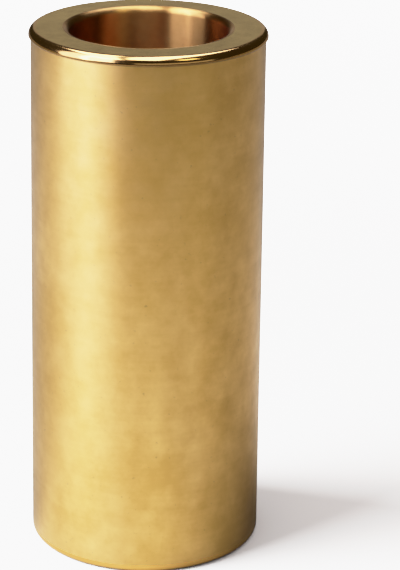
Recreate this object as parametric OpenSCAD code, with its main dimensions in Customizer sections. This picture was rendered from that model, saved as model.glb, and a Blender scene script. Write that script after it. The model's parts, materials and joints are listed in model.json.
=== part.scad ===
// Guitar slide: a heavy-walled brass tube, turned and bored from one bar, that is worn
// over a finger. It stands on its lower end face, with +Z up the bore's axis.
// Each end is a flat face between a rounded bore edge and a rounded outer edge. At the
// upper end a polished rim stands a little proud of the satin barrel. The barrel widens
// very slightly towards the lower end, and is flush there.

/* [Tube] */
// Length from end face to end face
length = 60; // [45:0.5:75]
// Diameter of the satin barrel just under the upper rim
barrel_d = 25.9; // [23:0.1:32]
// Diameter of the barrel at the lower end
foot_d = 26.2; // [23:0.1:32]
// Diameter of the bore that the finger goes in
bore_d = 17.5; // [15:0.1:20]

/* [Ends] */
// How far the upper rim stands out from the barrel, on the radius
rim_proud = 0.25; // [0.2:0.05:0.8]
// Radius of the rounded outer edge of each end
outer_round = 0.8; // [0.4:0.05:1.2]
// Radius of the rounded bore edge of each end
bore_round = 0.7; // [0.3:0.05:1.2]
// Radius of the rim's lower corner, and of the fillet under it
step_round = 0.1; // [0.05:0.01:0.1]

/* [Hidden] */

barrel_r = barrel_d / 2;
foot_r = foot_d / 2;
bore_r = bore_d / 2;
rim_r = barrel_r + rim_proud;
// Height of the rim's lower edge, where it steps in to the barrel
step_z = length - outer_round - step_round;
// How far a cutter reaches past the outline it cuts
margin = 1;
$fn = 96;

// What a rounded corner loses: the corner is at the origin, its edges run along +X and +Y
module corner_waste(r) {
  difference() {
    translate([-margin, -margin]) square(r + margin);
    translate([r, r]) circle(r);
  }
}

// What a fillet adds: the inside corner is at the origin, its walls run along +X and +Y
module fillet_web(r) {
  difference() {
    square(r);
    translate([r, r]) circle(r);
  }
}

// Section of the wall under the rim, from the bore out to the slightly tapered barrel
module wall_section() {
  polygon([
    [bore_r, 0],
    [foot_r, 0],
    [foot_r, outer_round],
    [barrel_r, step_z - step_round],
    [barrel_r, length],
    [bore_r, length]
  ]);
}

// Section of the upper rim, with the fillet under its step
module rim_section() {
  translate([bore_r, step_z]) square([rim_r - bore_r, length - step_z]);
  translate([barrel_r, step_z]) mirror([0, 1]) fillet_web(step_round);
}

// Section of the whole slide, on the +X side of its axis, with every corner rounded
module slide_section() {
  difference() {
    union() {
      wall_section();
      rim_section();
    }
    translate([bore_r, 0]) corner_waste(bore_round);
    translate([bore_r, length]) mirror([0, 1]) corner_waste(bore_round);
    translate([foot_r, 0]) mirror([1, 0]) corner_waste(outer_round);
    translate([rim_r, length]) mirror([1, 0]) mirror([0, 1]) corner_waste(outer_round);
    translate([rim_r, step_z]) mirror([1, 0]) corner_waste(step_round);
  }
}

// The whole slide: its section turned about the axis
module slide_tube() {
  color("#c9a45c")
    rotate_extrude()
      slide_section();
}

slide_tube();
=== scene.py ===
import json
import math

import bpy
import numpy as np
from mathutils import Matrix, Vector


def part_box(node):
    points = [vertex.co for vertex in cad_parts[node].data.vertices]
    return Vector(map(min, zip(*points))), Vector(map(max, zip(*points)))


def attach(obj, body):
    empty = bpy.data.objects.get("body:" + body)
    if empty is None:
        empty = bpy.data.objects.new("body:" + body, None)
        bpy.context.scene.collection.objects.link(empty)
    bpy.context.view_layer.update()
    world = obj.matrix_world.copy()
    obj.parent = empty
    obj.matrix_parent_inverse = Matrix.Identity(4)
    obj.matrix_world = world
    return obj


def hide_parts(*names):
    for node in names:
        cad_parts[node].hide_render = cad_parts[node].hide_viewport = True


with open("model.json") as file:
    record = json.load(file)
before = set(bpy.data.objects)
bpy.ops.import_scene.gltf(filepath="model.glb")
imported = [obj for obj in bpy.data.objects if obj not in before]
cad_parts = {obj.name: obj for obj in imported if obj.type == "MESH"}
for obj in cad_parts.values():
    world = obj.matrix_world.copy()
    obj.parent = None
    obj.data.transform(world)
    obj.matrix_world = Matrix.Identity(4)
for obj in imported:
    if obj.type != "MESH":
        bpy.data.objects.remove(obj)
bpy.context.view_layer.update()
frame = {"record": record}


# ---------------------------------------------------------------------------------------
# The camera: a long lens a forearm away on the slide's front side (-Y). It looks down a
# little, just past the slide's middle, and leans very slightly.
# ---------------------------------------------------------------------------------------
lens_mm = 161.7
camera_distance = 0.2908
look_down = math.radians(20.19)
look_right = math.radians(1.195)
lean = math.radians(0.455)
aim_height = 0.0299

camera_data = bpy.data.cameras.new("camera")
camera_data.lens = lens_mm
camera_data.clip_start = 0.01
camera = bpy.data.objects.new("camera", camera_data)
bpy.context.scene.collection.objects.link(camera)
camera_place = Vector(
    (0, -camera_distance * math.cos(look_down), aim_height + camera_distance * math.sin(look_down))
)
camera.matrix_world = (
    Matrix.Translation(camera_place)
    @ Matrix.Rotation(math.pi / 2 - look_down, 4, "X")
    @ Matrix.Rotation(-look_right, 4, "Y")
    @ Matrix.Rotation(lean, 4, "Z")
)
bpy.context.scene.camera = camera


# ---------------------------------------------------------------------------------------
# The slide's tube: one thick-walled length of brass bar, turned outside, bored through and
# rounded at every edge. The upper rim stands a little proud of the barrel and the lower end
# is flush. Nothing is fitted to it.
# ---------------------------------------------------------------------------------------
def arc(centre, radius, first, last, steps):
    """Points of a round from angle first to last, in degrees: centre + radius (cos a, sin a)."""
    a = np.radians(np.linspace(first, last, steps + 1))
    return np.stack([centre[0] + radius * np.cos(a), centre[1] + radius * np.sin(a)], axis=1)


def straight(start, end, shares):
    """Points of a straight run, each a share s of the way along: start + (end - start) s."""
    start, end = np.array(start, float), np.array(end, float)
    return start + (end - start) * np.array(shares)[:, None]


def revolved(name, outline, zones, turns):
    """The closed outline of (radius, height) points carried round the Z axis.

    A grid point is (r cos t, r sin t, z), with t in equal steps. Ring i joins ring i + 1 and the
    last ring joins the first, so the surface is closed. zones gives the material of the strip
    that follows each point.
    """
    t = np.arange(turns) * (2 * math.pi / turns)
    radius, height = outline[:, :1], outline[:, 1:]
    points = np.stack(
        [radius * np.cos(t), radius * np.sin(t), np.broadcast_to(height, (len(outline), turns))],
        axis=-1,
    ).reshape(-1, 3)
    ring = np.arange(len(outline))[:, None] * turns
    step = np.arange(turns)[None, :]
    beside, next_ring = (step + 1) % turns, np.roll(ring, -1, axis=0)
    quads = np.stack([ring + step, ring + beside, next_ring + beside, next_ring + step], axis=-1)
    mesh = bpy.data.meshes.new(name)
    mesh.from_pydata(points, [], quads.reshape(-1, 4))
    mesh.polygons.foreach_set("material_index", np.repeat(zones, turns))
    mesh.shade_smooth()
    made = bpy.data.objects.new(name, mesh)
    bpy.context.scene.collection.objects.link(made)
    return made


rim_radius, _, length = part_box("slide_tube")[1]
finger_bore = next(m for m in frame["record"]["mounts"] if m["name"] == "finger_bore")
bore_radius = finger_bore["dims"]["r_mm"] / 1000
bore_round = (length - finger_bore["dims"]["length_mm"] / 1000) / 2
rim_proud = 0.00025
outer_round = 0.0008
step_round = 0.0001
barrel_taper = 0.00015
barrel_radius = rim_radius - rim_proud
foot_radius = barrel_radius + barrel_taper
step_height = length - outer_round - step_round

BARREL, RIM, FACE, BORE = range(4)
# Rings close to the ends of a straight run keep the shading of the rounds off it.
near_ends = [0.002, 0.5, 0.998]
across_face = [0.015, 0.5, 0.985]
step_facets, outer_facets, bore_facets = 6, 20, 18
# The rim's lower corner ends where its outer round starts, so that point is left out.
strips = [
    (
        BARREL,
        straight((foot_radius, outer_round), (barrel_radius, step_height - step_round), near_ends),
    ),
    (
        BARREL,
        arc((barrel_radius + step_round, step_height - step_round), step_round, 180, 90, step_facets),
    ),
    (
        RIM,
        arc(
            (rim_radius - step_round, step_height + step_round), step_round, 270, 360, step_facets
        )[:-1],
    ),
    (RIM, arc((rim_radius - outer_round, length - outer_round), outer_round, 0, 90, outer_facets)),
    (
        FACE,
        straight(
            (rim_radius - outer_round, length), (bore_radius + bore_round, length), across_face
        ),
    ),
    (BORE, arc((bore_radius + bore_round, length - bore_round), bore_round, 90, 180, bore_facets)),
    (BORE, straight((bore_radius, length - bore_round), (bore_radius, bore_round), near_ends)),
    (BORE, arc((bore_radius + bore_round, bore_round), bore_round, 180, 270, bore_facets)),
    (
        FACE,
        straight((bore_radius + bore_round, 0), (foot_radius - outer_round, 0), across_face),
    ),
    (RIM, arc((foot_radius - outer_round, outer_round), outer_round, 270, 360, outer_facets)),
]
outline = np.concatenate([points for _, points in strips])
zones = np.concatenate([np.full(len(points), zone) for zone, points in strips])
tube = revolved("slide_tube_turned", outline, zones, turns=512)
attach(tube, "root")
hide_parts("slide_tube")


# Marks shared by the finishes: the fine lines a tool or cloth leaves round a turned piece,
# the smudges, mottling and specks that handling leaves on bare brass, and painted shade in
# the corner under the rim.
def new_group(name, inputs, outputs):
    """An empty shader group with named value inputs and outputs."""
    tree = bpy.data.node_groups.new(name, "ShaderNodeTree")
    for label in inputs:
        tree.interface.new_socket(label, in_out="INPUT", socket_type="NodeSocketFloat")
    for label in outputs:
        tree.interface.new_socket(label, in_out="OUTPUT", socket_type="NodeSocketFloat")
    return tree, tree.nodes.new("NodeGroupInput"), tree.nodes.new("NodeGroupOutput")


def joined(tree, socket, value):
    """Feed a socket from another socket, or set it to a plain number or colour."""
    if isinstance(value, bpy.types.NodeSocket):
        tree.links.new(value, socket)
    else:
        socket.default_value = value


def maths(tree, operation, first, second=0.0, third=0.0):
    """A maths node on up to three values; its result."""
    node = tree.nodes.new("ShaderNodeMath")
    node.operation = operation
    for socket, value in zip(node.inputs, (first, second, third)):
        joined(tree, socket, value)
    return node.outputs[0]


def ranged(tree, value, low_in, high_in, low_out, high_out, smooth=False):
    """A value carried from one range to another and kept inside it."""
    node = tree.nodes.new("ShaderNodeMapRange")
    node.interpolation_type = "SMOOTHSTEP" if smooth else "LINEAR"
    for socket, entry in zip(node.inputs, (value, low_in, high_in, low_out, high_out)):
        joined(tree, socket, entry)
    return node.outputs[0]


def cloudy(tree, place, scale, detail, roughness):
    """A noise texture's value at a place."""
    node = tree.nodes.new("ShaderNodeTexNoise")
    joined(tree, node.inputs["Vector"], place)
    joined(tree, node.inputs["Scale"], scale)
    joined(tree, node.inputs["Detail"], detail)
    joined(tree, node.inputs["Roughness"], roughness)
    return node.outputs["Fac"]


lines, given, results = new_group(
    "turned_lines", ["Across", "Line Width", "Line Run"], ["Height", "Tone"]
)
place = lines.nodes.new("ShaderNodeTexCoord").outputs["Object"]
split = lines.nodes.new("ShaderNodeSeparateXYZ")
lines.links.new(place, split.inputs[0])
for output, width_factor, run_factor, detail in (("Height", 1, 1, 2), ("Tone", 9, 1.6, 3)):
    run = maths(lines, "MULTIPLY", given.outputs["Line Run"], run_factor)
    width = maths(lines, "MULTIPLY", given.outputs["Line Width"], width_factor)
    stretched = lines.nodes.new("ShaderNodeCombineXYZ")
    lines.links.new(maths(lines, "DIVIDE", split.outputs["X"], run), stretched.inputs[0])
    lines.links.new(maths(lines, "DIVIDE", split.outputs["Y"], run), stretched.inputs[1])
    lines.links.new(maths(lines, "DIVIDE", given.outputs["Across"], width), stretched.inputs[2])
    value = cloudy(lines, stretched.outputs[0], scale=1, detail=detail, roughness=0.55)
    lines.links.new(value, results.inputs[output])

marks, _, results = new_group("handling_marks", [], ["Smudge", "Mottle", "Specks"])
place = marks.nodes.new("ShaderNodeTexCoord").outputs["Object"]
in_mm = marks.nodes.new("ShaderNodeVectorMath")
in_mm.operation = "SCALE"
in_mm.inputs["Scale"].default_value = 1000
marks.links.new(place, in_mm.inputs[0])
smudge = cloudy(marks, in_mm.outputs[0], scale=0.13, detail=4, roughness=0.6)
marks.links.new(ranged(marks, smudge, 0.3, 0.7, 0, 1, smooth=True), results.inputs["Smudge"])
mottle = cloudy(marks, in_mm.outputs[0], scale=0.48, detail=4, roughness=0.62)
marks.links.new(ranged(marks, mottle, 0.25, 0.75, 0, 1), results.inputs["Mottle"])
specks = cloudy(marks, in_mm.outputs[0], scale=2.1, detail=2, roughness=0.5)
marks.links.new(ranged(marks, specks, 0.68, 0.8, 0, 1, smooth=True), results.inputs["Specks"])


# Painted shade: a darker colour is painted into the corner under the rim, full close to the step and fading
# out a little further away.
shade_full_within, shade_gone_beyond = 0.00006, 0.00022
corner_shade_group, given, results = new_group("painted_corner_shade", ["Depth"], ["Grime"])
place = corner_shade_group.nodes.new("ShaderNodeTexCoord").outputs["Object"]
split = corner_shade_group.nodes.new("ShaderNodeSeparateXYZ")
corner_shade_group.links.new(place, split.inputs[0])
from_step = maths(corner_shade_group, "ABSOLUTE", maths(corner_shade_group, "SUBTRACT", split.outputs["Z"], step_height))
corner_shade_amount = ranged(corner_shade_group, from_step, shade_full_within, shade_gone_beyond, given.outputs["Depth"], 0, smooth=True)
corner_shade_group.links.new(corner_shade_amount, results.inputs["Grime"])


# The finishes, one material each: a satin barrel rubbed round with fine abrasive, bright
# rims, satin end faces and a smooth bore. All are the same bare, slightly aged brass.
line_run = 0.006
speck_colour = (0.3, 0.17, 0.05, 1)
speck_share = 0.35
# Painted shade in the corner under the rim takes this colour.
corner_shade_colour = (0.1, 0.055, 0.02, 1)
# Painted shade: brass seen in a reflection of brass is pulled this share of the way to this darker, redder
# colour.
mirrored_shade_colour = (0.4, 0.12, 0.05, 1)
mirrored_shade_share = 0.75


def mixed(tree, share, first, second):
    """A colour that goes from the first to the second as share goes from 0 to 1."""
    node = tree.nodes.new("ShaderNodeMix")
    node.data_type = "RGBA"
    colour_sockets = [socket for socket in node.inputs if socket.type == "RGBA"]
    for socket, value in zip((node.inputs[0], *colour_sockets), (share, first, second)):
        joined(tree, socket, value)
    return next(socket for socket in node.outputs if socket.type == "RGBA")


def finish(
    name, colour, aged, roughness, roughness_swing, line_width, line_depth, across, drawn, corner_shade_depth, film,
    edge=(1, 1, 1, 1),
):
    """One brass finish.

    The colour leans to the aged one with the smudges, the mottling and the lines' tone, and has
    darker specks. The roughness goes up and down by roughness_swing with the lines' tone and the
    mottling. A bump, line_depth high, follows the lines, which are line_width wide and are
    counted across the height or, on a flat end, across the radius.

    drawn is how far the sheen is pulled out across the lines, corner_shade_depth how dark the
    painted shade is in the corner under the rim, film how much thin cloudy coat lies on the
    metal, and edge the sheen's tint at a glancing angle. Brass that is seen mirrored in brass
    is shown darker and redder than that alone would make it: painted shade, for the look of
    the bore.
    """
    material = bpy.data.materials.new(name)
    material.use_nodes = True
    tree = material.node_tree
    shader = tree.nodes["Principled BSDF"]
    place = tree.nodes.new("ShaderNodeTexCoord").outputs["Object"]
    split = tree.nodes.new("ShaderNodeSeparateXYZ")
    tree.links.new(place, split.inputs[0])
    if across == "height":
        distance = split.outputs["Z"]
    else:
        squares = [maths(tree, "POWER", split.outputs[axis], 2) for axis in ("X", "Y")]
        distance = maths(tree, "SQRT", maths(tree, "ADD", *squares))
    turned = tree.nodes.new("ShaderNodeGroup")
    turned.node_tree = lines
    tree.links.new(distance, turned.inputs["Across"])
    turned.inputs["Line Width"].default_value = line_width
    turned.inputs["Line Run"].default_value = line_run
    handled = tree.nodes.new("ShaderNodeGroup")
    handled.node_tree = marks

    age = -0.1
    for signs, sign, weight in (handled, "Smudge", 0.55), (handled, "Mottle", 0.6), (turned, "Tone", 0.35):
        age = maths(tree, "MULTIPLY_ADD", signs.outputs[sign], weight, age)
    metal = mixed(tree, age, (*colour, 1), (*aged, 1))
    speckled = maths(tree, "MULTIPLY", handled.outputs["Specks"], speck_share)
    metal = mixed(tree, speckled, metal, speck_colour)
    # Painted shade darkens the corner under the rim.
    if corner_shade_depth:
        corner_shaded = tree.nodes.new("ShaderNodeGroup")
        corner_shaded.node_tree = corner_shade_group
        corner_shaded.inputs["Depth"].default_value = corner_shade_depth
        metal = mixed(tree, corner_shaded.outputs["Grime"], metal, corner_shade_colour)
    # Painted shade for brass seen in a reflection of brass.
    seen_in_reflection = tree.nodes.new("ShaderNodeLightPath").outputs["Is Glossy Ray"]
    metal = mixed(tree, maths(tree, "MULTIPLY", seen_in_reflection, mirrored_shade_share), metal, mirrored_shade_colour)
    tree.links.new(metal, shader.inputs["Base Color"])

    swing = maths(tree, "ADD", turned.outputs["Tone"], handled.outputs["Mottle"])
    rough = maths(tree, "MULTIPLY_ADD", maths(tree, "SUBTRACT", swing, 1), roughness_swing, roughness)
    tree.links.new(rough, shader.inputs["Roughness"])
    shader.inputs["Metallic"].default_value = 1
    shader.inputs["Specular Tint"].default_value = edge
    shader.inputs["Anisotropic"].default_value = drawn
    shader.inputs["Anisotropic Rotation"].default_value = 0.25
    shader.inputs["Coat Weight"].default_value = film
    shader.inputs["Coat Roughness"].default_value = 0.3
    tangent = tree.nodes.new("ShaderNodeTangent")
    tangent.direction_type = "RADIAL"
    tangent.axis = "Z"
    tree.links.new(tangent.outputs[0], shader.inputs["Tangent"])

    bump = tree.nodes.new("ShaderNodeBump")
    bump.inputs["Strength"].default_value = 1
    bump.inputs["Distance"].default_value = line_depth
    tree.links.new(turned.outputs["Height"], bump.inputs["Height"])
    tree.links.new(bump.outputs[0], shader.inputs["Normal"])
    return material


satin_barrel = finish(
    "satin_barrel", colour=(0.99, 0.625, 0.2), aged=(0.77, 0.455, 0.1), roughness=0.4,
    roughness_swing=0.09, line_width=0.00007, line_depth=0.0000006, across="height",
    drawn=0.7, corner_shade_depth=0.8, film=0.5,
)
bright_rim = finish(
    "bright_rim", colour=(0.9, 0.51, 0.135), aged=(0.82, 0.45, 0.11), roughness=0.14,
    roughness_swing=0.03, line_width=0.00005, line_depth=0.0000002, across="height",
    drawn=0, corner_shade_depth=0.8, film=0,
)
satin_face = finish(
    "satin_face", colour=(1, 0.66, 0.22), aged=(0.72, 0.455, 0.135), roughness=0.17,
    roughness_swing=0.08, line_width=0.00006, line_depth=0.0000006, across="radius",
    drawn=0.4, corner_shade_depth=0, film=0, edge=(1, 1, 0.9, 1),
)
bright_bore = finish(
    "bright_bore", colour=(0.88, 0.49, 0.125), aged=(0.66, 0.33, 0.07), roughness=0.315,
    roughness_swing=0.02, line_width=0.00008, line_depth=0.0000003, across="height",
    drawn=1, corner_shade_depth=0, film=0,
)
for brass in (satin_barrel, bright_rim, satin_face, bright_bore):
    tube.data.materials.append(brass)


# ---------------------------------------------------------------------------------------
# The floor: a wide sheet of pale paper that the slide stands on, made far brighter than paper.
# In all but the camera's own view it is dimmer, dark some way in front of the slide, and shaded
# by patches, which stand in for things around it that aren't built.
# ---------------------------------------------------------------------------------------
reach = 3.0
seen_tone = 12
sheet_tone = 4.6
far_glow = 3.8

floor_mesh = bpy.data.meshes.new("floor")
floor_mesh.from_pydata(
    [(-reach, -reach, 0), (reach, -reach, 0), (reach, reach, 0), (-reach, reach, 0)],
    [],
    [(0, 1, 2, 3)],
)
floor = bpy.data.objects.new("floor", floor_mesh)
bpy.context.scene.collection.objects.link(floor)

paper = bpy.data.materials.new("paper")
paper.use_nodes = True
tree = paper.node_tree
shader = tree.nodes["Principled BSDF"]
place = tree.nodes.new("ShaderNodeTexCoord").outputs["Object"]
split = tree.nodes.new("ShaderNodeSeparateXYZ")
tree.links.new(place, split.inputs[0])
to_right, to_back = split.outputs["X"], split.outputs["Y"]
to_back_left = maths(tree, "SUBTRACT", to_back, to_right)
squares = [maths(tree, "POWER", socket, 2) for socket in (to_right, to_back)]
from_middle = maths(tree, "SQRT", maths(tree, "ADD", *squares))

in_front = ranged(tree, to_back, -0.14, -0.1, 0, sheet_tone, smooth=True)
# Painted shade: the sheet is darkened under the slide and inside its bore.
shade_under_slide = ranged(tree, from_middle, 0.012, 0.0132, 0.15, 1)
# Painted light: the sheet is brightest close to the slide and dims farther out.
brighter_near_slide = ranged(tree, from_middle, 0.04, 0.2, 1.1, 0.68)
sheet = maths(tree, "MULTIPLY", maths(tree, "MULTIPLY", in_front, shade_under_slide), brighter_near_slide)
# Each patch is painted shade: it comes in towards one side, from begins to full, where it takes
# off depth of the tone, and fades out between near and far from the slide's axis. The two
# towards the right are painted shadow beside the slide's foot.
patches = (
    (to_back_left, 0.02, 0.06, 0.46, 0.07, 0.16),
    (to_right, 0.004, 0.02, 0.5, 0.025, 0.06),
    (to_right, 0, 0.006, 0.35, 0.0145, 0.019),
    (to_back, -0.005, 0.004, 0.45, 0.022, 0.036),
)
for side, begins, full, depth, near, far in patches:
    shade = ranged(tree, side, begins, full, 0, depth, smooth=True)
    shade = maths(tree, "MULTIPLY", shade, ranged(tree, from_middle, near, far, 1, 0))
    sheet = maths(tree, "MULTIPLY", sheet, maths(tree, "SUBTRACT", 1, shade))

fibre = ranged(tree, cloudy(tree, place, scale=90, detail=4, roughness=0.6), 0, 1, 0.86, 0.88)
seen = tree.nodes.new("ShaderNodeLightPath").outputs["Is Camera Ray"]
exposure = maths(tree, "MULTIPLY", fibre, ranged(tree, seen, 0, 1, sheet, seen_tone))
tree.links.new(exposure, shader.inputs["Base Color"])
glow = maths(tree, "MULTIPLY", ranged(tree, from_middle, 0.06, 0.3, 0, far_glow, smooth=True), seen)
tree.links.new(glow, shader.inputs["Emission Strength"])
shader.inputs["Emission Color"].default_value = (1, 1, 1.02, 1)
shader.inputs["Roughness"].default_value = 0.8
shader.inputs["Specular IOR Level"].default_value = 0.1
floor_mesh.materials.append(paper)


# ---------------------------------------------------------------------------------------
# The light: soft panels round and over the slide that light it alone, one panel that lights
# the floor alone, and a room. The room is white to the camera and close to dark otherwise,
# so that the brass mirrors mainly the panels and the floor.
# ---------------------------------------------------------------------------------------
def panel(name, place, facing, width, height, lean, brightness, colour=(1, 1, 1)):
    """A soft panel at a place, facing a point. lean turns it in its own plane, in degrees.

    Its own brightness (what a mirror would show) is the same whatever its size.
    """
    place, facing = Vector(place), Vector(facing)
    data = bpy.data.lights.new(name, "AREA")
    data.shape = "RECTANGLE"
    data.size, data.size_y = width, height
    data.energy = brightness * math.pi * width * height
    data.color = colour
    lamp = bpy.data.objects.new(name, data)
    turn = (place - facing).to_track_quat("Z", "Y").to_matrix().to_4x4()
    lamp.matrix_world = Matrix.Translation(place) @ turn @ Matrix.Rotation(math.radians(lean), 4, "Z")
    lamp.visible_camera = False
    bpy.context.scene.collection.objects.link(lamp)
    return lamp


floor_key = panel(
    "floor_key", (-0.22, -0.07, 0.18), (0, -0.07, 0.18), width=0.3, height=0.32, lean=0, brightness=1.7
)
slide_panels = [
    panel(
        "left_wall", (-0.2, -0.045, 0.183), (0, -0.045, 0.183), width=0.13, height=0.32,
        lean=12, brightness=2.2, colour=(1, 1.05, 1.9),
    ),
    panel(
        "left_front", (-0.2, -0.184, 0.212), (0, -0.184, 0.212), width=0.228, height=0.32,
        lean=12, brightness=3, colour=(1, 1.06, 2),
    ),
    panel(
        "front_soft", (0.22, -0.47, 0.1), (0, 0, 0.06), width=0.8, height=0.18,
        lean=0, brightness=0.42, colour=(1, 1.05, 1.4),
    ),
    panel(
        "ceiling_left", (-0.138, 0.03, 0.36), (-0.138, 0.03, 0), width=0.125, height=0.5,
        lean=-12, brightness=3.8, colour=(1, 1.06, 1.7),
    ),
    panel(
        "ceiling_right", (0.035, 0.08, 0.36), (0.035, 0.08, 0), width=0.14, height=0.53,
        lean=-12, brightness=3.6, colour=(1, 1.06, 1.7),
    ),
    panel(
        "right_fill", (0.19, -0.17, 0.36), (0, 0, 0.03), width=0.1, height=0.1, lean=0, brightness=3
    ),
    panel(
        "back_low", (0.01, 0.5, 0.13), (0, 0, 0.06), width=0.24, height=0.2, lean=0, brightness=0.3
    ),
]
slide_only = bpy.data.collections.new("slide_only")
slide_only.objects.link(tube)
for lamp in slide_panels:
    lamp.light_linking.receiver_collection = slide_only
floor_only = bpy.data.collections.new("floor_only")
floor_only.objects.link(floor)
floor_key.light_linking.receiver_collection = floor_only

mirrored_tint, diffuse_tint, seen_tint = (1, 0.82, 0.32, 1), (1, 0.92, 0.89, 1), (1, 1, 1, 1)
mirrored_strength, diffuse_strength, seen_strength = 0.03, 0.08, 4.5
room = bpy.data.worlds.new("room")
room.use_nodes = True
bpy.context.scene.world = room
tree = room.node_tree
sky = tree.nodes["Background"]
path = tree.nodes.new("ShaderNodeLightPath")
diffuse, seen = path.outputs["Is Diffuse Ray"], path.outputs["Is Camera Ray"]
tint = mixed(tree, seen, mixed(tree, diffuse, mirrored_tint, diffuse_tint), seen_tint)
tree.links.new(tint, sky.inputs["Color"])
dim = ranged(tree, diffuse, 0, 1, mirrored_strength, diffuse_strength)
tree.links.new(ranged(tree, seen, 0, 1, dim, seen_strength), sky.inputs["Strength"])
bpy.context.scene.cycles.caustics_reflective = False


# ---------------------------------------------------------------------------------------
# The picture: tones stay as they are up to the middle and roll off softly above it, so that
# the brightest brass and the floor stay below pure white.
# ---------------------------------------------------------------------------------------
brightest = 4
top_tone = 0.95
bend = 0.6
tones = (
    (0.25, 0.25), (0.5, 0.5), (0.7, 0.655), (0.84, 0.74), (1, 0.8), (1.26, 0.875), (1.6, 0.92), (2.5, 0.943)
)

view = bpy.context.scene.view_settings
view.view_transform = "Standard"
view.look = "None"
view.use_curve_mapping = True
view.curve_mapping.white_level = (brightest, brightest, brightest)
curve = view.curve_mapping.curves[3]
curve.points[-1].location = (1, top_tone)
for light, shown in tones:
    curve.points.new(light / brightest, shown)
for point in curve.points:
    point.handle_type = "VECTOR" if point.location[1] < bend else "AUTO_CLAMPED"
view.curve_mapping.update()
